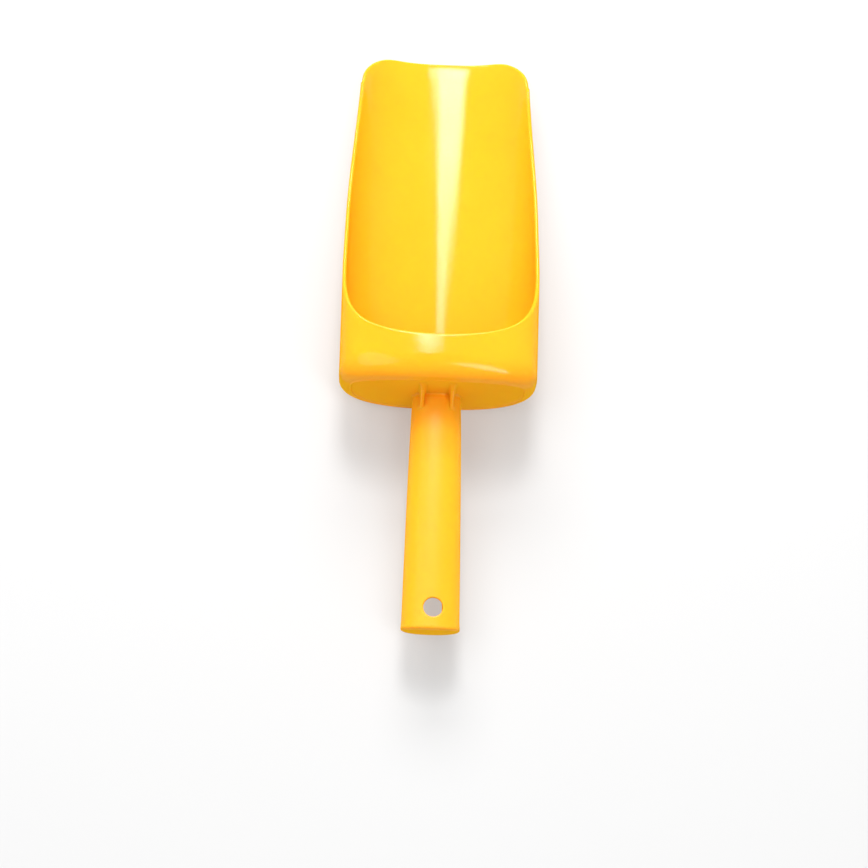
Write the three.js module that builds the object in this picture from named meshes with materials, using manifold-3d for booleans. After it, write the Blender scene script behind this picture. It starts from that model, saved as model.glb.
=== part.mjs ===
// Feed scoop: a one-handed moulded plastic scoop for grain, pellets and flour.
//
// Millimetres, +Z up. +Y points out of the bowl's mouth and the handle runs along -Y.
// The bowl is a straight trough with a closed back and a short hood. A hollow oval
// handle stands on the back wall, two gussets brace its root, and a push-in cap
// closes its end. Nothing moves. The bowl, handle and gussets are one moulding on the
// real scoop, and are split here at the seams between those features.

import * as THREE from 'three';
import { mergeVertices } from 'three/addons/utils/BufferGeometryUtils.js';
import Module from 'manifold-3d';

const wasm = await Module();
wasm.setup();

// ---------------------------------------------------------------- driving dimensions

// Bowl section, the same all along the bowl. A power of 2 is an ellipse, more is squarer.
const bowlHalfWidth = 60;
const bellyHeight = 42.7; // from the base up to the widest line
const hoodRise = 32.9; // from the widest line up to the crown
const hoodArch = 5; // the part of that rise which is one shallow arch across the whole hood
const baseHalfWidth = 9; // the flat strip that the scoop rests on
const bellyPower = 2.14;
const hoodPower = 5.4;

// Bowl length and rim
const bowlLength = 236.8; // back wall to the middle of the lip
const hoodLength = 26.8; // back wall to the rim at the crown
const lipHeight = 21.2; // where the side rims run into the lip's corners
const rimPower = 1.84; // more makes the rim fall faster behind the hood
const lipBulge = 0.3;
const lipCornerRadius = 23.8;
const rimBlend = 3; // eases the side rim into the lip's corner

// Walls
const wall = 2.5;
const backRadius = 6.2; // rounding between the back wall and the sides
const crownBackRadius = 10; // the same rounding at the crown
const crownRoundingStart = 2; // where along the outline it starts to grow, and where it is full
const crownRoundingEnd = 2.6;
const seamGap = 0.3;

// Handle
const handleLength = 147.2; // back wall to the end of the cap
const rootHalfWidth = 14.6;
const endHalfWidth = 17.4;
const wideningPower = 0.6; // under 1, so most of the widening is near the root
const handleFlatness = 0.62; // half height over half width
const handlePower = 2.3;
const handleHeight = 31.6; // middle of the handle above the base, at the root
const handleRise = 3.5; // how much higher the middle lies at the end
const flareLength = 9;
const flareWidth = 0.5;

// Hang hole
const holeFromEnd = 13.9;
const holeOffset = 1.1; // to one side of the middle plane
const holeRadius = 5.75;
const lowerSlotLength = 5; // the lower opening reaches this much further towards the bowl

// End cap
const capThickness = 2.6;
const capEdgeRadius = 1.6;
const spigotDepth = 4.5;
const spigotWall = 1.8;

// Gussets
const gussetOffset = 10; // middle of a gusset from the middle plane
const gussetThickness = 2.4;
const gussetHeight = 25; // up the back wall, from the top of the handle
const gussetLength = 11; // along the handle
const gussetHollow = 2.2; // how far the sloping edge curves in
const gussetFoot = 6; // sunk below the handle's top, before it is cut to fit

const crownHeight = bellyHeight + hoodRise;
const plastic = { color: 0xfbd63f, roughness: 0.28, metalness: 0 };

// ---------------------------------------------------------------- mesh helpers

// Joins rings of points into a closed skin. A ring of one point closes an end.
// With loop set, the last ring joins the first, as in a tube that is open at both ends.
// Outer faces point out where rings that turn from +X to +Z are listed towards -Y.
function skin(rings, loop = false) {
  const positions = [];
  const starts = [];
  for (const ring of rings) {
    starts.push(positions.length / 3);
    for (const point of ring) {
      positions.push(...point);
    }
  }
  const faces = [];
  const bands = loop ? rings.length : rings.length - 1;
  for (let band = 0; band < bands; band += 1) {
    const next = (band + 1) % rings.length;
    const sizes = [rings[band].length, rings[next].length];
    const count = Math.max(...sizes);
    for (let i = 0; i < count; i += 1) {
      const j = (i + 1) % count;
      const near = sizes[0] === 1 ? [starts[band]] : [starts[band] + i, starts[band] + j];
      const far = sizes[1] === 1 ? [starts[next]] : [starts[next] + i, starts[next] + j];
      if (near.length === 2) {
        faces.push(near[0], near[1], far[0]);
      }
      if (far.length === 2) {
        faces.push(near[near.length - 1], far[1], far[0]);
      }
    }
  }
  const geometry = new THREE.BufferGeometry();
  geometry.setAttribute('position', new THREE.Float32BufferAttribute(positions, 3));
  geometry.setIndex(faces);
  return geometry;
}

// Turns a closed geometry into a solid that can be cut and joined.
function solid(geometry) {
  const bare = geometry.clone();
  bare.deleteAttribute('normal');
  bare.deleteAttribute('uv');
  const merged = mergeVertices(bare, 1e-4);
  return new wasm.Manifold(new wasm.Mesh({
    numProp: 3,
    vertProperties: new Float32Array(merged.getAttribute('position').array),
    triVerts: new Uint32Array(merged.getIndex().array),
  }));
}

// Turns a solid back into a geometry.
function shape(body) {
  const mesh = body.getMesh();
  const geometry = new THREE.BufferGeometry();
  geometry.setAttribute('position', new THREE.Float32BufferAttribute(mesh.vertProperties, 3));
  geometry.setIndex(Array.from(mesh.triVerts));
  return geometry;
}

// Extrudes an outline drawn in the YZ plane by width along X, centred on x.
function extrudeAcross(outline, width, x) {
  const geometry = new THREE.ExtrudeGeometry(outline, {
    depth: width, bevelEnabled: false, curveSegments: 8,
  });
  const toYZ = new THREE.Matrix4().makeBasis(
    new THREE.Vector3(0, 1, 0),
    new THREE.Vector3(0, 0, 1),
    new THREE.Vector3(1, 0, 0),
  );
  return geometry.applyMatrix4(toYZ).translate(x - width / 2, 0, 0);
}

// ---------------------------------------------------------------- bowl

// The right half of the bowl's outline as [x, z], drawn in by inset. The stretch runs
// from the middle of the base (0) over the base's edge (1) and the widest line (2)
// to the crown (3).
function bowlOutline(stretch, inset) {
  const halfWidth = bowlHalfWidth - inset;
  if (stretch <= 1) {
    return [stretch * baseHalfWidth, inset];
  }
  if (stretch <= 2) {
    const turn = (stretch - 1) * Math.PI / 2;
    const out = Math.sin(turn) ** (2 / bellyPower);
    const down = Math.cos(turn) ** (2 / bellyPower);
    return [
      baseHalfWidth + (halfWidth - baseHalfWidth) * out,
      bellyHeight - (bellyHeight - inset) * down,
    ];
  }
  const turn = (stretch - 2) * Math.PI / 2;
  const out = Math.cos(turn) ** (2 / hoodPower);
  const up = Math.sin(turn) ** (2 / hoodPower);
  return [
    halfWidth * out,
    bellyHeight + (hoodRise - hoodArch - inset) * up + hoodArch * (1 - out ** 2),
  ];
}

// Half the bowl's width at the height of the lip's corners.
function lipHalfWidth() {
  const down = (bellyHeight - lipHeight) / bellyHeight;
  const out = (1 - down ** bellyPower) ** (1 / bellyPower);
  return baseHalfWidth + (bowlHalfWidth - baseHalfWidth) * out;
}

// How far forward the wall reaches at [x, z] of the outline. The rim falls from the
// crown along a power curve, and below it the lip takes over, with rounded corners.
function wallReach([x, z]) {
  const left = Math.max(z - lipHeight, 0) / (crownHeight - lipHeight);
  const rim = bowlLength - (bowlLength - hoodLength) * left ** (1 / rimPower);
  const cornerStart = lipHalfWidth() - lipCornerRadius;
  const intoCorner = THREE.MathUtils.clamp(Math.abs(x) - cornerStart, 0, lipCornerRadius);
  const corner = lipCornerRadius - Math.sqrt(lipCornerRadius ** 2 - intoCorner ** 2);
  const lip = bowlLength - lipBulge * (x / bowlHalfWidth) ** 2 - corner;
  const mix = Math.max(rimBlend - Math.abs(rim - lip), 0) / rimBlend;
  return Math.min(rim, lip) - mix ** 2 * rimBlend / 4;
}

// Radius of the edge between the back wall and the sides, at a stretch of the outline.
function backRounding(stretch) {
  const grown = THREE.MathUtils.smoothstep(stretch, crownRoundingStart, crownRoundingEnd);
  return backRadius + (crownBackRadius - backRadius) * grown;
}

// Places on the outline between two stretches, spaced evenly along the rim.
function evenStretches(from, to, count) {
  const steps = 800;
  const rimPoint = (stretch) => {
    const [x, z] = bowlOutline(stretch, 0);
    return new THREE.Vector3(x, wallReach([x, z]), z);
  };
  const travelled = [0];
  for (let i = 1; i <= steps; i += 1) {
    const before = rimPoint(from + (to - from) * (i - 1) / steps);
    const after = rimPoint(from + (to - from) * i / steps);
    travelled.push(travelled[i - 1] + before.distanceTo(after));
  }
  const found = [];
  let i = 1;
  for (let k = 1; k <= count; k += 1) {
    const target = travelled[steps] * k / count;
    while (i < steps && travelled[i] < target) {
      i += 1;
    }
    const part = (target - travelled[i - 1]) / (travelled[i] - travelled[i - 1]);
    found.push(from + (to - from) * (i - 1 + part) / steps);
  }
  return found;
}

// The trough with its hood and closed back, as one shell of even thickness.
function scoopBowl() {
  const baseColumns = 2;
  const sideColumns = 40;
  const right = [0, ...evenStretches(0, 1, baseColumns), ...evenStretches(1, 3, sideColumns)];
  const left = right.slice(1, -1).reverse();
  // [stretch, side] for each column of the shell, once round the outline
  const columns = [...right.map((s) => [s, 1]), ...left.map((s) => [s, -1])];

  // a ring drawn in by inset and set back by place, each a length at a stretch
  const ring = (inset, place) => columns.map(([stretch, side]) => {
    const [x, z] = bowlOutline(stretch, inset(stretch));
    return [x * side, place(stretch), z];
  });
  const reach = (stretch) => wallReach(bowlOutline(stretch, 0));

  const cornerSteps = 4;
  const turns = Array.from({ length: cornerSteps + 1 }, (_, k) => k / cornerSteps * Math.PI / 2);
  // the flat of the back wall, the rounded edge round it and the sides, for the surface
  // that lies depth inside the shell's outer one
  const surface = (depth) => [
    [[0, depth, bellyHeight]],
    ...turns.map((turn) => ring(
      (stretch) => depth + (backRounding(stretch) - depth) * (1 - Math.sin(turn)),
      (stretch) => depth + (backRounding(stretch) - depth) * (1 - Math.cos(turn)),
    )),
    ring(() => depth, reach),
  ];
  return skin([...surface(wall), ...surface(0).reverse()]);
}

// ---------------------------------------------------------------- handle

const tubeEnd = handleLength - capThickness - seamGap;

// Half width and middle height of the handle at a distance behind the back wall.
function handleSize(distance) {
  const along = distance / handleLength;
  const intoFlare = Math.max(distance - (handleLength - flareLength), 0) / flareLength;
  return {
    halfWidth: rootHalfWidth + (endHalfWidth - rootHalfWidth) * along ** wideningPower
      + flareWidth * intoFlare ** 2,
    middle: handleHeight + handleRise * along,
  };
}

// The handle's oval at a distance behind the back wall, drawn in by inset.
function handleRing(distance, inset) {
  const sides = 40;
  const { halfWidth, middle } = handleSize(distance);
  const bend = (value) => Math.sign(value) * Math.abs(value) ** (2 / handlePower);
  return Array.from({ length: sides }, (_, k) => {
    const turn = k / sides * 2 * Math.PI;
    return [
      (halfWidth - inset) * bend(Math.cos(turn)),
      -distance,
      middle + (halfWidth * handleFlatness - inset) * bend(Math.sin(turn)),
    ];
  });
}

// Rings of the handle's oval between two distances.
function handleRings(from, to, inset, count) {
  return Array.from({ length: count + 1 }, (_, k) => handleRing(from + (to - from) * k / count, inset));
}

// An upright cutter through one wall of the handle, longer by slot towards the bowl.
function holeCutter(low, high, slot) {
  const outline = new THREE.Shape();
  outline.absarc(0, 0, holeRadius, Math.PI, 2 * Math.PI);
  outline.absarc(0, slot, holeRadius, 0, Math.PI);
  const geometry = new THREE.ExtrudeGeometry(outline, {
    depth: high - low, bevelEnabled: false, curveSegments: 12,
  });
  return solid(geometry.translate(holeOffset, -(handleLength - holeFromEnd), low));
}

// The hollow tube, open at both ends and pierced by the hang hole.
function handleTube() {
  const rows = 14;
  const outside = handleRings(seamGap, tubeEnd, 0, rows);
  const inside = handleRings(seamGap, tubeEnd, wall, rows).reverse();
  const { halfWidth, middle } = handleSize(handleLength - holeFromEnd);
  const above = middle + 2 * halfWidth;
  const below = middle - 2 * halfWidth;
  return shape(solid(skin([...outside, ...inside], true))
    .subtract(holeCutter(middle, above, 0))
    .subtract(holeCutter(below, middle, lowerSlotLength)));
}

// The cap: a rounded plate as wide as the tube's end, with a thin spigot inside it.
function endCap() {
  const edgeSteps = 3;
  const rounded = Array.from({ length: edgeSteps + 1 }, (_, k) => {
    const turn = (1 - k / edgeSteps) * Math.PI / 2;
    const back = capEdgeRadius * (1 - Math.cos(turn));
    return handleRing(handleLength - back, capEdgeRadius * (1 - Math.sin(turn)));
  });
  const plateBack = handleLength - capThickness;
  const spigotEnd = plateBack - spigotDepth;
  const fit = wall + seamGap;
  return skin([
    [[0, -plateBack, handleSize(plateBack).middle]],
    handleRing(plateBack, fit + spigotWall),
    handleRing(spigotEnd, fit + spigotWall),
    handleRing(spigotEnd, fit),
    handleRing(plateBack, fit),
    handleRing(plateBack, 0),
    ...rounded,
    [[0, -handleLength, handleSize(handleLength).middle]],
  ]);
}

// ---------------------------------------------------------------- gussets

// One brace between the back wall and the top of the handle, cut to sit on the handle.
function gusset(side) {
  const { halfWidth, middle } = handleSize(0);
  const foot = middle + halfWidth * handleFlatness;
  const outline = new THREE.Shape();
  outline.moveTo(-seamGap, foot - gussetFoot);
  outline.lineTo(-seamGap, foot + gussetHeight);
  outline.quadraticCurveTo(
    -gussetLength / 2 + gussetHollow,
    foot + gussetHeight / 2 - gussetHollow,
    -gussetLength,
    foot,
  );
  outline.lineTo(-gussetLength, foot - gussetFoot);
  const blade = solid(extrudeAcross(outline, gussetThickness, side * gussetOffset));
  const rows = 4;
  const room = solid(skin([
    [[0, 0, middle]],
    ...handleRings(0, 2 * gussetLength, -seamGap, rows),
    [[0, -2 * gussetLength, middle]],
  ]));
  return shape(blade.subtract(room));
}

// ---------------------------------------------------------------- assembly

function piece(name, geometry) {
  const mesh = new THREE.Mesh(geometry, new THREE.MeshStandardMaterial(plastic));
  mesh.name = name;
  return mesh;
}

const feedScoop = new THREE.Group();
feedScoop.add(piece('scoop_bowl', scoopBowl()));
feedScoop.add(piece('handle_tube', handleTube()));
feedScoop.add(piece('handle_end_cap', endCap()));
feedScoop.add(piece('gusset_left', gusset(-1)));
feedScoop.add(piece('gusset_right', gusset(1)));

// The origin is under the middle of the whole length, on the plane that the base rests on.
feedScoop.position.y = (handleLength - wallReach([0, 0])) / 2;

export default feedScoop;
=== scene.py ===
# The yellow feed scoop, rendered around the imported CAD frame.
#
# Metres, +Z up. +Y points out of the bowl's mouth and the handle runs along -Y.
# The CAD solids give every place and overall size. Each one is replaced by a fine mesh of
# the same part with rounded rims, moulded fillets and an eased hang hole.

import math

import bmesh
import bpy
from mathutils import Matrix, Vector


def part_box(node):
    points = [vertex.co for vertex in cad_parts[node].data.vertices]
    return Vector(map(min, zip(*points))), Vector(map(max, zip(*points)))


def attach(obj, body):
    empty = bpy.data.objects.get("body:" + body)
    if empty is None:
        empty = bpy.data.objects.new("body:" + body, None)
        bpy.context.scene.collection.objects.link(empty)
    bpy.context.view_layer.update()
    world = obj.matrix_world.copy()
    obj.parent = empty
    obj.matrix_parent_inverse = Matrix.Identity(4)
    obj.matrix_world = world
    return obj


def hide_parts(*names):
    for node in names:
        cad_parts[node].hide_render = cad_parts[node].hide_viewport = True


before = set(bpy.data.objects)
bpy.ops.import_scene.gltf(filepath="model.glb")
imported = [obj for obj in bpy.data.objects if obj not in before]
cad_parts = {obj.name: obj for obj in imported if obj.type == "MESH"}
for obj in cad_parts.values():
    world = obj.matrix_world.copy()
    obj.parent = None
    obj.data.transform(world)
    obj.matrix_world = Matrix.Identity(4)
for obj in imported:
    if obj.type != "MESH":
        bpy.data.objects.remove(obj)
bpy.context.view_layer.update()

# ---------------------------------------------------------------- sizes

MM = 0.001

SHARP_ANGLE = math.radians(38)
SAME_POINT = 0.001 * MM  # points closer than this are made one

# Places that the frame gives
bowl_low, bowl_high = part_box("scoop_bowl")
cap_low, cap_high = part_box("handle_end_cap")
BACK_Y = bowl_low.y
BOWL_HALF_WIDTH = bowl_high.x
CROWN_HEIGHT = bowl_high.z
HANDLE_LENGTH = BACK_Y - cap_low.y

# Bowl section. A power of 2 is an ellipse, more is squarer.
BELLY_HEIGHT = 42.7 * MM
BASE_HALF_WIDTH = 9 * MM
BELLY_POWER = 2.14
HOOD_POWER = 5.4
HOOD_RISE = CROWN_HEIGHT - BELLY_HEIGHT
HOOD_ARCH = 5 * MM
FLOOR_HOLLOW = 1.6 * MM  # from the inside's lowest line up to the floor beside it
FLOOR_HOLLOW_SHARE = 0.6  # the share of it that stands above a wall of even thickness
FLOOR_HOLLOW_WIDTH = 13 * MM

# Rim
RIM_BLEND = 3 * MM  # eases the side rim into the lip's corner
BOWL_LENGTH = bowl_high.y - bowl_low.y + RIM_BLEND / 4
HOOD_LENGTH = 26.8 * MM
LIP_HEIGHT = 21.2 * MM
RIM_POWER = 1.84
LIP_BULGE = 0.3 * MM
LIP_CORNER_RADIUS = 23.8 * MM

# Walls
WALL = 2.5 * MM
BACK_RADIUS = 6.2 * MM
CROWN_BACK_RADIUS = 7 * MM
CROWN_ROUNDING_START = 2.0  # where along the outline it starts to change
CROWN_ROUNDING_END = 2.6  # and where it is fully changed
CROWN_ROUNDING_LENGTH = 2.0  # the crown's rounding is this many times longer than it is deep
BEAD_WIDTH = 2.2 * MM  # a low bead frames the flat of the back wall
BEAD_HEIGHT = 0.6 * MM

# Handle
ROOT_HALF_WIDTH = 14.6 * MM
END_HALF_WIDTH = 17.4 * MM
WIDENING_POWER = 0.6
HANDLE_FLATNESS = 0.62
HANDLE_POWER = 2.3
HANDLE_HEIGHT = 31.6 * MM
HANDLE_RISE = 3.5 * MM
FLARE_LENGTH = 9 * MM
FLARE_WIDTH = 0.5 * MM
ROOT_FILLET = 1.2 * MM
ROOT_DEPTH = 1.2 * MM  # the tube starts this deep in the back wall
HANDLE_SIDES = 96

# Hang hole
HOLE_FROM_END = 13.9 * MM
HOLE_OFFSET = 1.1 * MM  # to one side of the middle plane
HOLE_RADIUS = 5.75 * MM
HOLE_EASE = 0.8 * MM  # rounding of the hole's edge
LOWER_SLOT = 5 * MM  # the lower opening reaches this much further towards the bowl

# End cap
CAP_THICKNESS = 2.6 * MM
CAP_DOME = 2.4 * MM  # the part of the cap that is rounded over
CAP_DOME_POWER = 3
CAP_SEAM = 0.04 * MM
SPIGOT_DEPTH = 4.5 * MM
SPIGOT_WALL = 1.8 * MM
SPIGOT_GAP = 0.3 * MM

# Gussets
GUSSET_OFFSET = 9 * MM
GUSSET_THICKNESS = 2.4 * MM
GUSSET_HEIGHT = 26 * MM
GUSSET_LENGTH = 11 * MM
GUSSET_HOLLOW = 3 * MM
GUSSET_FILLET = 1.8 * MM
GUSSET_DEPTH = 1.2 * MM  # the gussets start this deep in the wall and the handle

# Stage
FLOOR_HALF_SIZE = 3.0
STUDIO_MIDDLE = Vector((0, 0.03, 0.04))  # where the lamps point
KEY_HEIGHT = 1.7
KEY_NEAR_END = 0.507
KEY_LENGTH = 0.84
KEY_ROUND_END = 0.035
KEY_END_WIDTH = 0.16
KEY_WIDENING = 0.43  # width gained for each metre along the lamp
KEY_FULL_WIDTH = 0.43
KEY_EDGE_WIDTH = 0.2  # of the width, for the dim strip on each side
KEY_EDGE_GLOW = 0.4  # of the middle's glow
KEY_FIRST_GLOW = 125
KEY_FULL_GLOW = 96

# Camera. It looks down on the scoop from behind the handle's end.
CAMERA_TARGET = Vector((-1.17 * MM, -70.22 * MM, 40 * MM))
CAMERA_DISTANCE = 1.3431
CAMERA_AZIMUTH = math.radians(4.947)
CAMERA_ELEVATION = math.radians(74.25)
CAMERA_ROLL = math.radians(6.811)
CAMERA_LENS = 91.93

# ---------------------------------------------------------------- mesh helpers


def make_piece(name, points, faces, stands_for):
    """A smooth closed mesh in the row frame that replaces a CAD node."""
    mesh = bpy.data.meshes.new(name)
    mesh.from_pydata(points, [], faces)
    shell = bmesh.new()
    shell.from_mesh(mesh)
    bmesh.ops.remove_doubles(shell, verts=shell.verts, dist=SAME_POINT)
    bmesh.ops.recalc_face_normals(shell, faces=shell.faces)
    shell.to_mesh(mesh)
    shell.free()
    for face in mesh.polygons:
        face.use_smooth = True
    mesh.set_sharp_from_angle(angle=SHARP_ANGLE)
    piece = bpy.data.objects.new(name, mesh)
    bpy.context.scene.collection.objects.link(piece)
    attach(piece, "root")
    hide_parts(stands_for)
    return piece


class Skin:
    """Points and faces of one closed mesh, built from rings."""

    def __init__(self):
        self.points = []
        self.faces = []

    def ring(self, points):
        start = len(self.points)
        self.points.extend(points)
        return list(range(start, len(self.points)))

    def join(self, near, far, skip=()):
        """Quads between two closed rings, leaving out the places in skip."""
        count = len(near)
        for i in range(count):
            if i not in skip:
                j = (i + 1) % count
                self.faces.append((near[i], near[j], far[j], far[i]))

    def join_all(self, rings):
        for near, far in zip(rings, rings[1:]):
            self.join(near, far)

    def fan(self, ring, centre):
        apex = self.ring([centre])[0]
        for i in range(len(ring)):
            self.faces.append((ring[i], ring[(i + 1) % len(ring)], apex))


def superellipse(turn, power):
    """Cosine and sine of a quarter turn or more, squared up by a power."""
    c, s = math.cos(turn), math.sin(turn)
    return (
        math.copysign(abs(c) ** (2 / power), c),
        math.copysign(abs(s) ** (2 / power), s),
    )


def fillet(distance, radius):
    """How far a fillet of that radius stands out, at a distance from the wall it runs into."""
    if distance >= radius:
        return 0.0
    return radius - math.sqrt(max(radius**2 - (radius - max(distance, 0.0)) ** 2, 0.0))


def smooth_min(a, b, width):
    """The lesser of two lengths, eased over width where they cross."""
    mix = max(width - abs(a - b), 0.0) / width
    return min(a, b) - mix * mix * width / 4


# ---------------------------------------------------------------- bowl


def bowl_outline(stretch, inset):
    """(x, z) on the right half of the outline: 0 middle of the base, 1 base's edge,
    2 widest line, 3 crown."""
    half_width = BOWL_HALF_WIDTH - inset
    if stretch <= 1:
        return stretch * BASE_HALF_WIDTH, inset
    if stretch <= 2:
        down, out = superellipse((stretch - 1) * math.pi / 2, BELLY_POWER)
        return (
            BASE_HALF_WIDTH + (half_width - BASE_HALF_WIDTH) * out,
            BELLY_HEIGHT - (BELLY_HEIGHT - inset) * down,
        )
    out, up = superellipse((stretch - 2) * math.pi / 2, HOOD_POWER)
    return (
        half_width * out,
        BELLY_HEIGHT + (HOOD_RISE - HOOD_ARCH - inset) * up + HOOD_ARCH * (1 - out**2),
    )


def inner_outline(stretch, inset):
    """The outline inside the shell, where the floor is hollow in the middle."""
    x, z = bowl_outline(stretch, inset)
    raised = FLOOR_HOLLOW * (FLOOR_HOLLOW_SHARE - math.exp(-((x / FLOOR_HOLLOW_WIDTH) ** 2)))
    return x, z + raised * max(BELLY_HEIGHT - z, 0.0) / BELLY_HEIGHT


def back_rounding(stretch):
    """The rounding between the back wall and the sides: its depth, and how many times
    longer it is than deep."""
    part = (stretch - CROWN_ROUNDING_START) / (CROWN_ROUNDING_END - CROWN_ROUNDING_START)
    part = min(max(part, 0.0), 1.0)
    crown = part * part * (3 - 2 * part)
    depth = BACK_RADIUS + (CROWN_BACK_RADIUS - BACK_RADIUS) * crown
    return depth, 1 + (CROWN_ROUNDING_LENGTH - 1) * crown


def lip_half_width():
    """Half the bowl's width at the height of the lip's corners."""
    down = (BELLY_HEIGHT - LIP_HEIGHT) / BELLY_HEIGHT
    out = (1 - down**BELLY_POWER) ** (1 / BELLY_POWER)
    return BASE_HALF_WIDTH + (BOWL_HALF_WIDTH - BASE_HALF_WIDTH) * out


def wall_reach(x, z):
    """How far forward of the back wall the shell reaches at a point of the outline."""
    left = max(z - LIP_HEIGHT, 0.0) / (CROWN_HEIGHT - LIP_HEIGHT)
    rim = BOWL_LENGTH - (BOWL_LENGTH - HOOD_LENGTH) * left ** (1 / RIM_POWER)
    into_corner = min(max(abs(x) - lip_half_width() + LIP_CORNER_RADIUS, 0.0), LIP_CORNER_RADIUS)
    corner = LIP_CORNER_RADIUS - math.sqrt(LIP_CORNER_RADIUS**2 - into_corner**2)
    lip = BOWL_LENGTH - LIP_BULGE * (x / BOWL_HALF_WIDTH) ** 2 - corner
    return smooth_min(rim, lip, RIM_BLEND)


def rim_point(stretch, inside=False):
    """The rim's point on the shell's outer or inner surface."""
    x, z = bowl_outline(stretch, 0.0)
    reach = wall_reach(x, z)
    if inside:
        x, z = inner_outline(stretch, WALL)
    return Vector((x, BACK_Y + reach, z))


def even_stretches(start, end, count):
    """Places on the outline between two stretches, spaced evenly along the rim."""
    steps = 3000
    places = [start + (end - start) * i / steps for i in range(steps + 1)]
    rim = [rim_point(place) for place in places]
    travelled = [0.0]
    for before, after in zip(rim, rim[1:]):
        travelled.append(travelled[-1] + (after - before).length)
    found = []
    i = 1
    for k in range(1, count + 1):
        target = travelled[-1] * k / count
        while i < steps and travelled[i] < target:
            i += 1
        part = (target - travelled[i - 1]) / (travelled[i] - travelled[i - 1])
        found.append(places[i - 1] + (places[i] - places[i - 1]) * part)
    return found


def bowl_shell():
    """The trough, hood and back wall, with a round rim and rounded back edges."""
    base_columns, side_columns = 6, 170
    bead_steps, corner_steps, wall_rows, rim_steps = 8, 8, 22, 8
    flat_rings = (0.35, 0.7, 0.94)
    right = [0.0] + even_stretches(0, 1, base_columns) + even_stretches(1, 3, side_columns)
    left = right[-2:0:-1]
    columns = [(stretch, 1) for stretch in right] + [(stretch, -1) for stretch in left]

    def mirrored(point, side):
        return Vector((point.x * side, point.y, point.z))

    outer_rim = [mirrored(rim_point(stretch), side) for stretch, side in columns]
    inner_rim = [mirrored(rim_point(stretch, True), side) for stretch, side in columns]

    # Half rounds over the rim, from the outer surface to the inner one. Each is as thick
    # as the mean of the wall there and an even wall.
    count = len(columns)
    rounds = []
    for i in range(count):
        along = (outer_rim[(i + 1) % count] - outer_rim[i - 1]).normalized()
        outwards = (outer_rim[i] - inner_rim[i]).normalized()
        proud = outwards.cross(along).normalized()
        if proud.y + proud.z < 0:
            proud.negate()
        half = (WALL + (outer_rim[i] - inner_rim[i]).length) / 4
        middle = outer_rim[i] - (outwards + proud) * half
        rounds.append([
            middle + outwards * half * math.cos(turn) + proud * half * math.sin(turn)
            for turn in (math.pi * k / rim_steps for k in range(rim_steps + 1))
        ])

    skin = Skin()

    def surface(depth, outline, edge, bead):
        """Rings from the flat of the back wall over its bead, round its edge and along to
        the rim's half rounds, of which edge is the row to meet."""

        def ring_at(turn, further=0.0, proud=0.0, shrink=1.0):
            points = []
            for stretch, side in columns:
                radius, lengthened = back_rounding(stretch)
                radius -= depth
                x, z = outline(stretch, depth + radius * (1 - math.sin(turn)) + further)
                points.append(Vector((
                    x * side * shrink,
                    BACK_Y + depth + radius * (1 - math.cos(turn)) * lengthened - proud,
                    BELLY_HEIGHT + (z - BELLY_HEIGHT) * shrink,
                )))
            return points

        rings = [ring_at(0.0, BEAD_WIDTH, 0.0, shrink) for shrink in flat_rings]
        for k in range(bead_steps):
            part = k / bead_steps
            proud = bead * math.sin(math.pi * part) ** 2
            rings.append(ring_at(0.0, BEAD_WIDTH * (1 - part), proud))
        rings += [ring_at(math.pi / 2 * k / corner_steps) for k in range(corner_steps + 1)]
        last = rings[-1]
        for k in range(1, wall_rows + 1):
            part = k / wall_rows
            rings.append([point.lerp(rounds[i][edge], part) for i, point in enumerate(last)])
        return rings

    outside = surface(0.0, bowl_outline, 0, BEAD_HEIGHT)
    inside = surface(WALL, inner_outline, rim_steps, 0.0)
    over = [[rounds[i][k] for i in range(count)] for k in range(rim_steps - 1, 0, -1)]
    rings = [skin.ring(ring) for ring in inside + over + outside[::-1]]
    skin.join_all(rings)
    skin.fan(rings[0], Vector((0, BACK_Y + WALL, BELLY_HEIGHT)))
    skin.fan(rings[-1], Vector((0, BACK_Y, BELLY_HEIGHT)))
    return make_piece("bowl_shell", skin.points, skin.faces, "scoop_bowl")


# ---------------------------------------------------------------- handle


def handle_size(distance):
    """Half width, half height and middle height at a distance behind the back wall."""
    along = max(distance, 0.0) / HANDLE_LENGTH
    into_flare = max(distance - (HANDLE_LENGTH - FLARE_LENGTH), 0.0) / FLARE_LENGTH
    half_width = ROOT_HALF_WIDTH + (END_HALF_WIDTH - ROOT_HALF_WIDTH) * along**WIDENING_POWER
    half_width += FLARE_WIDTH * into_flare**2
    return half_width, half_width * HANDLE_FLATNESS, HANDLE_HEIGHT + HANDLE_RISE * along


def handle_point(distance, turn, inset):
    """A point of the handle's oval, drawn in by inset."""
    half_width, half_height, middle = handle_size(distance)
    out, up = superellipse(turn, HANDLE_POWER)
    return Vector((
        (half_width - inset) * out,
        BACK_Y - distance,
        middle + (half_height - inset) * up,
    ))


def handle_ring(distance, inset):
    """The whole oval at a distance behind the back wall."""
    turns = [2 * math.pi * k / HANDLE_SIDES for k in range(HANDLE_SIDES)]
    return [handle_point(distance, turn, inset) for turn in turns]


def handle_surface(x, distance, inset, face):
    """The point above x on the handle's upper face (1), or below it on the lower one (-1)."""
    half_width, half_height, middle = handle_size(distance)
    out = min(abs(x) / (half_width - inset), 1.0)
    height = (half_height - inset) * (1 - out**HANDLE_POWER) ** (1 / HANDLE_POWER)
    return Vector((x, BACK_Y - distance, middle + face * height))


def obround_reach(across, along, radius, half_slot):
    """How far an obround's outline lies from its middle in a direction of length 1."""
    if abs(across) * half_slot > abs(along) * radius:
        return radius / abs(across)
    lead = abs(along) * half_slot
    return lead + math.sqrt(max(radius**2 - half_slot**2 + lead**2, 0.0))


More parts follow.
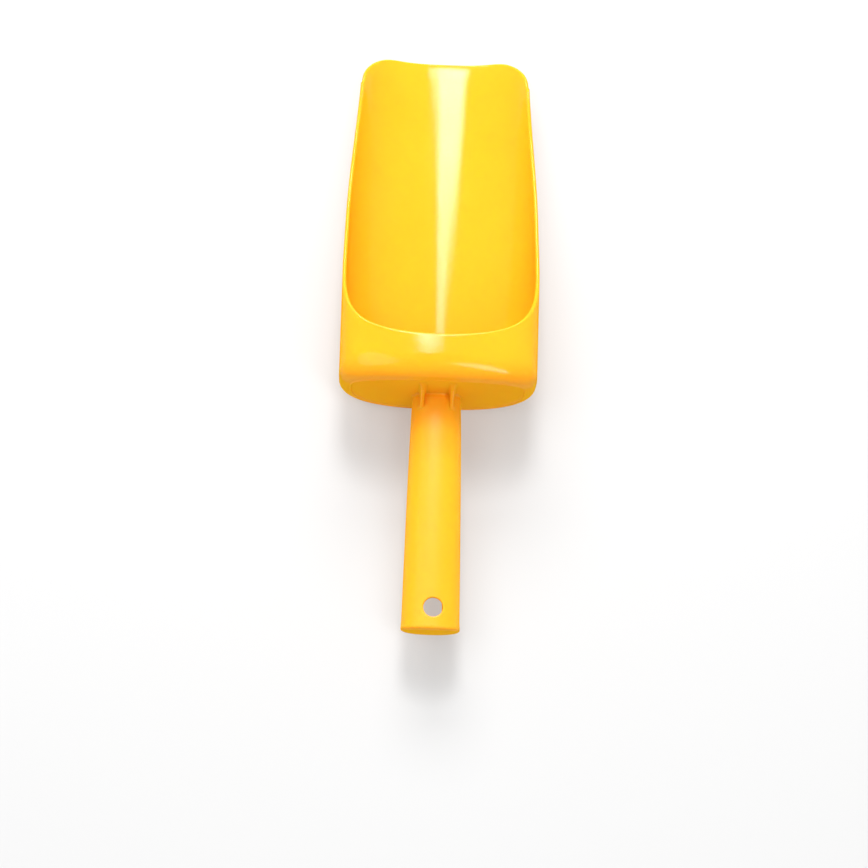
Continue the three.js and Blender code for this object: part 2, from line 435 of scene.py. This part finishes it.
def pierce(skin, stations, outer, inner, face, slot):
    """Cuts the hang hole through one face of the tube. Returns the rows and sides of the
    window that it fills, for the tube to leave open."""
    half_window, clear_of_hole = 10, 2 * MM
    approach, ease_steps = (0.3, 0.6, 0.82), 4
    middle_side = HANDLE_SIDES // 4 if face > 0 else HANDLE_SIDES * 3 // 4
    low_side, high_side = middle_side - half_window, middle_side + half_window
    centre = HANDLE_LENGTH - HOLE_FROM_END - slot / 2
    margin = HOLE_RADIUS + HOLE_EASE + slot / 2 + clear_of_hole
    low_row = max(r for r, d in enumerate(stations) if d < centre - margin)
    high_row = min(r for r, d in enumerate(stations) if d > centre + margin)
    window = [(low_row, k) for k in range(low_side, high_side)]
    window += [(r, high_side) for r in range(low_row, high_row)]
    window += [(high_row, k) for k in range(high_side, low_side, -1)]
    window += [(r, low_side) for r in range(high_row, low_row, -1)]

    def loops(rows, inset, sink):
        """Rings from the window's edge in to the hole's wall, on one surface of the tube."""
        edge = [rows[r][k] for r, k in window]
        rays = []
        for index in edge:
            point = skin.points[index]
            across, along = point.x - HOLE_OFFSET, BACK_Y - point.y - centre
            span = math.hypot(across, along)
            rays.append((across / span, along / span, span))
        found = [edge]
        steps = [(part, HOLE_EASE, 0.0) for part in approach]
        for k in range(ease_steps + 1):
            turn = math.pi / 2 * k / ease_steps
            steps.append((1.0, HOLE_EASE * (1 - math.sin(turn)), HOLE_EASE * (1 - math.cos(turn))))
        for part, wider, deeper in steps:
            ring = []
            for across, along, span in rays:
                hole = obround_reach(across, along, HOLE_RADIUS + wider, slot / 2)
                length = span + (hole - span) * part
                point = handle_surface(
                    HOLE_OFFSET + across * length, centre + along * length, inset, face
                )
                point.z += sink * face * deeper
                ring.append(point)
            found.append(skin.ring(ring))
        return found

    skin.join_all(loops(outer, 0.0, -1) + loops(inner, WALL, 1)[::-1])
    return range(low_row, high_row), range(low_side, high_side)


def handle_grip():
    """The hollow tube, with a fillet at its root and the hang hole near its end."""
    fillet_rows, rows = 8, 62
    end = HANDLE_LENGTH - CAP_THICKNESS - CAP_SEAM
    turns = [math.pi / 2 * k / fillet_rows for k in range(fillet_rows)]
    stations = [-ROOT_DEPTH]
    stations += [ROOT_FILLET * (1 - math.cos(turn)) for turn in turns]
    stations += [ROOT_FILLET + (end - ROOT_FILLET) * k / rows for k in range(rows + 1)]
    skin = Skin()
    outer = [skin.ring(handle_ring(d, -fillet(d, ROOT_FILLET))) for d in stations]
    inner = [skin.ring(handle_ring(d, WALL)) for d in stations]
    windows = [
        pierce(skin, stations, outer, inner, 1, 0.0),
        pierce(skin, stations, outer, inner, -1, LOWER_SLOT),
    ]
    for r in range(len(stations) - 1):
        open_sides = {k for in_rows, in_sides in windows if r in in_rows for k in in_sides}
        skin.join(outer[r], outer[r + 1], open_sides)
        skin.join(inner[r], inner[r + 1], open_sides)
    skin.join(outer[0], inner[0])
    skin.join(outer[-1], inner[-1])
    return make_piece("handle_grip", skin.points, skin.faces, "handle_tube")


def end_cap():
    """The cap: a rounded plate flush with the tube, with a thin spigot inside it."""
    plate_back = HANDLE_LENGTH - CAP_THICKNESS
    spigot_end = plate_back - SPIGOT_DEPTH
    fit = WALL + SPIGOT_GAP
    dome_steps = 12
    skin = Skin()
    rings = [
        handle_ring(plate_back, fit + SPIGOT_WALL),
        handle_ring(spigot_end, fit + SPIGOT_WALL),
        handle_ring(spigot_end, fit),
        handle_ring(plate_back, fit),
        handle_ring(plate_back, 0.0),
    ]
    dome_start = HANDLE_LENGTH - CAP_DOME
    middle = Vector((0, BACK_Y - dome_start, handle_size(HANDLE_LENGTH)[2]))
    brim = handle_ring(dome_start, 0.0)
    for k in range(dome_steps):
        shrink, out = superellipse(math.pi / 2 * k / dome_steps, CAP_DOME_POWER)
        lift = Vector((0, -CAP_DOME * out, 0))
        rings.append([middle.lerp(point, shrink) + lift for point in brim])
    loops = [skin.ring(ring) for ring in rings]
    skin.join_all(loops)
    skin.fan(loops[0], Vector((0, BACK_Y - plate_back, handle_size(plate_back)[2])))
    skin.fan(loops[-1], middle + Vector((0, -CAP_DOME, 0)))
    return make_piece("end_cap", skin.points, skin.faces, "handle_end_cap")


# ---------------------------------------------------------------- gussets


def gusset(name, side, stands_for):
    """A slim brace with a rounded edge, and fillets into the back wall and the handle."""
    rows, spokes, round_steps = 24, 16, 5
    crowding = 1.6  # more puts the spokes' points closer to the free edge
    half = GUSSET_THICKNESS / 2
    foot = handle_surface(GUSSET_OFFSET, 0.0, 0.0, 1).z
    corner = Vector((0, GUSSET_DEPTH, foot - GUSSET_DEPTH))
    top = Vector((0, GUSSET_DEPTH / 2, foot + GUSSET_HEIGHT))
    toe = Vector((0, -GUSSET_LENGTH, foot - GUSSET_DEPTH / 2))
    bend = (top + toe) / 2 + Vector((0, GUSSET_HOLLOW, -GUSSET_HOLLOW))

    def thickness(point):
        """Half the brace's thickness, more in the fillets."""
        to_wall = max(-point.y, 0.0)
        to_handle = max(point.z - foot, 0.0)
        return half + fillet(to_wall, GUSSET_FILLET) + fillet(to_handle, GUSSET_FILLET)

    def place(point, out):
        return Vector((side * (GUSSET_OFFSET + out), BACK_Y + point.y, point.z))

    skin = Skin()
    loops = []
    for k in range(rows + 1):
        t = k / rows
        tip = top * (1 - t) ** 2 + bend * 2 * t * (1 - t) + toe * t * t
        inwards = (corner - tip).normalized()
        flank = []
        for i in range(spokes + 1):
            part = 1 - (1 - i / spokes) ** crowding
            point = corner.lerp(tip + inwards * half, part)
            flank.append((point, thickness(point)))
        point, thick = flank[-1]
        for i in range(1, round_steps + 1):
            turn = math.pi / 2 * i / round_steps
            flank.append((point - inwards * half * math.sin(turn), thick * math.cos(turn)))
        loop = [place(point, thick) for point, thick in flank[:-1]]
        loop.append(place(flank[-1][0], 0.0))
        loop += [place(point, -thick) for point, thick in flank[-2::-1]]
        loops.append(skin.ring(loop))
    skin.join_all(loops)
    skin.faces.append(tuple(loops[0]))
    skin.faces.append(tuple(loops[-1]))
    return make_piece(name, skin.points, skin.faces, stands_for)


# ---------------------------------------------------------------- material


def moulded_plastic():
    """Glossy yellow plastic that lets a little light through."""
    material = bpy.data.materials.new("yellow_plastic")
    material.use_nodes = True
    nodes = material.node_tree.nodes
    links = material.node_tree.links
    shader = nodes["Principled BSDF"]
    shader.inputs["Subsurface Weight"].default_value = 0.7
    shader.inputs["Subsurface Radius"].default_value = (1.0, 0.4, 0.05)
    shader.inputs["Subsurface Scale"].default_value = 1.2 * MM
    shader.inputs["IOR"].default_value = 1.49

    # The gloss fades where the surface turns away
    facing = nodes.new("ShaderNodeLayerWeight")
    facing.inputs["Blend"].default_value = 0.5
    gloss = nodes.new("ShaderNodeMapRange")
    gloss.inputs["From Min"].default_value = 0.3
    gloss.inputs["From Max"].default_value = 0.68
    gloss.inputs["To Min"].default_value = 0.21
    gloss.inputs["To Max"].default_value = 0.0
    links.new(facing.outputs["Facing"], gloss.inputs["Value"])
    links.new(gloss.outputs["Result"], shader.inputs["Specular IOR Level"])

    place = nodes.new("ShaderNodeTexCoord")
    clouds = nodes.new("ShaderNodeTexNoise")
    clouds.inputs["Scale"].default_value = 14
    clouds.inputs["Detail"].default_value = 3
    tint = nodes.new("ShaderNodeValToRGB")
    tint.color_ramp.elements[0].position = 0.3
    tint.color_ramp.elements[0].color = (0.93, 0.385, 0.011, 1)
    tint.color_ramp.elements[1].position = 0.7
    tint.color_ramp.elements[1].color = (0.95, 0.41, 0.014, 1)
    links.new(place.outputs["Object"], clouds.inputs["Vector"])
    links.new(clouds.outputs["Fac"], tint.inputs["Fac"])
    links.new(tint.outputs["Color"], shader.inputs["Base Color"])

    # The bowl is polished and the handle is satin
    rough = nodes.new("ShaderNodeMapRange")
    rough.inputs["To Min"].default_value = 0.07
    rough.inputs["To Max"].default_value = 0.1
    links.new(clouds.outputs["Fac"], rough.inputs["Value"])
    along = nodes.new("ShaderNodeSeparateXYZ")
    links.new(place.outputs["Object"], along.inputs["Vector"])
    satin = nodes.new("ShaderNodeMapRange")
    satin.inputs["From Min"].default_value = BACK_Y - 3 * MM
    satin.inputs["From Max"].default_value = BACK_Y
    satin.inputs["To Min"].default_value = 0.24
    satin.inputs["To Max"].default_value = 0.0
    links.new(along.outputs["Y"], satin.inputs["Value"])
    finish = nodes.new("ShaderNodeMath")
    finish.operation = "ADD"
    links.new(rough.outputs["Result"], finish.inputs[0])
    links.new(satin.outputs["Result"], finish.inputs[1])
    links.new(finish.outputs["Value"], shader.inputs["Roughness"])

    peel = nodes.new("ShaderNodeTexNoise")
    peel.inputs["Scale"].default_value = 260
    bump = nodes.new("ShaderNodeBump")
    bump.inputs["Strength"].default_value = 0.05
    bump.inputs["Distance"].default_value = 0.3 * MM
    links.new(place.outputs["Object"], peel.inputs["Vector"])
    links.new(peel.outputs["Fac"], bump.inputs["Height"])
    links.new(bump.outputs["Normal"], shader.inputs["Normal"])
    return material


# ---------------------------------------------------------------- stage


def studio_floor():
    """A pale floor that glows a little, as a light table does."""
    half = FLOOR_HALF_SIZE
    corners = [(-half, -half, 0), (half, -half, 0), (half, half, 0), (-half, half, 0)]
    mesh = bpy.data.meshes.new("studio_floor")
    mesh.from_pydata(corners, [], [(0, 1, 2, 3)])
    floor = bpy.data.objects.new("studio_floor", mesh)
    bpy.context.scene.collection.objects.link(floor)
    material = bpy.data.materials.new("studio_floor")
    material.use_nodes = True
    shader = material.node_tree.nodes["Principled BSDF"]
    shader.inputs["Base Color"].default_value = (0.38, 0.38, 0.38, 1)
    shader.inputs["Roughness"].default_value = 0.9
    shader.inputs["Emission Color"].default_value = (1, 1, 1, 1)
    shader.inputs["Emission Strength"].default_value = 0.3
    mesh.materials.append(material)


def softbox(name, place, shape, size, glow):
    """A lamp that faces the scoop. Its glow is in watts for each square metre."""
    light = bpy.data.lights.new(name, "AREA")
    light.shape = shape
    light.size, light.size_y = size
    light.energy = glow * size[0] * size[1]
    lamp = bpy.data.objects.new(name, light)
    lamp.location = place
    lamp.rotation_euler = (STUDIO_MIDDLE - Vector(place)).to_track_quat("-Z", "Y").to_euler()
    bpy.context.scene.collection.objects.link(lamp)


def key_softbox():
    """Strips that make one lamp with a round near end, widening and brightening away from
    the scoop, and dimmer down both sides. The hood mirrors the first strip, and the trough
    mirrors the others."""
    strips, crowding = 11, 1.5
    edges = [KEY_LENGTH * (k / strips) ** crowding for k in range(strips + 1)]
    for k in range(strips):
        out = (edges[k] + edges[k + 1]) / 2
        depth = edges[k + 1] - edges[k]
        to_end = max(1 - out / KEY_ROUND_END, 0.0)
        width = min(KEY_END_WIDTH + KEY_WIDENING * out, KEY_FULL_WIDTH) * math.sqrt(1 - to_end**2)
        glow = KEY_FULL_GLOW * min(0.25 + 1.8 * out, 1.0) if k else KEY_FIRST_GLOW
        x, y, z = -0.03 - 0.03 * out, KEY_NEAR_END + out, KEY_HEIGHT
        softbox(f"key_core_{k}", (x, y, z), "RECTANGLE", (width, depth), glow)
        edge = width * KEY_EDGE_WIDTH
        for name, side in (("left", -1), ("right", 1)):
            beside = (x + side * (width + edge) / 2, y, z)
            softbox(f"key_{name}_{k}", beside, "RECTANGLE", (edge, depth), glow * KEY_EDGE_GLOW)


def studio_lights():
    """The key lamp, three large dim ones, and an even white glow all round."""
    key_softbox()
    softbox("front_softbox", (-0.2, 1.8, 1.4), "ELLIPSE", (1.6, 0.8), 29)
    softbox("left_softbox", (-0.8, -0.1, 1.7), "ELLIPSE", (1.3, 1.1), 6)
    softbox("back_softbox", (0.5, -0.6, 1.6), "ELLIPSE", (0.3, 1.2), 22)
    world = bpy.data.worlds.new("studio")
    world.use_nodes = True
    background = world.node_tree.nodes["Background"]
    background.inputs["Color"].default_value = (1, 1, 1, 1)
    background.inputs["Strength"].default_value = 0.5
    bpy.context.scene.world = world


def studio_camera():
    """A camera at the distance, angles and roll given at the top."""
    ahead = Vector((
        math.sin(CAMERA_AZIMUTH) * math.cos(CAMERA_ELEVATION),
        math.cos(CAMERA_AZIMUTH) * math.cos(CAMERA_ELEVATION),
        -math.sin(CAMERA_ELEVATION),
    ))
    level = ahead.cross(Vector((0, 0, 1))).normalized()
    upright = level.cross(ahead)
    right = level * math.cos(CAMERA_ROLL) + upright * math.sin(CAMERA_ROLL)
    up = right.cross(ahead)
    turn = Matrix((right, up, -ahead)).transposed()
    data = bpy.data.cameras.new("camera")
    data.lens = CAMERA_LENS
    data.sensor_width = 36
    data.clip_end = 10
    camera = bpy.data.objects.new("camera", data)
    place = Matrix.Translation(CAMERA_TARGET - ahead * CAMERA_DISTANCE)
    camera.matrix_world = place @ turn.to_4x4()
    bpy.context.scene.collection.objects.link(camera)
    bpy.context.scene.camera = camera


# ---------------------------------------------------------------- the scene

studio_camera()
studio_lights()
studio_floor()
plastic = moulded_plastic()
pieces = [
    bowl_shell(),
    handle_grip(),
    end_cap(),
    gusset("left_gusset", -1, "gusset_left"),
    gusset("right_gusset", 1, "gusset_right"),
]
for piece in pieces:
    piece.data.materials.append(plastic)

bpy.context.scene.view_settings.view_transform = "Standard"
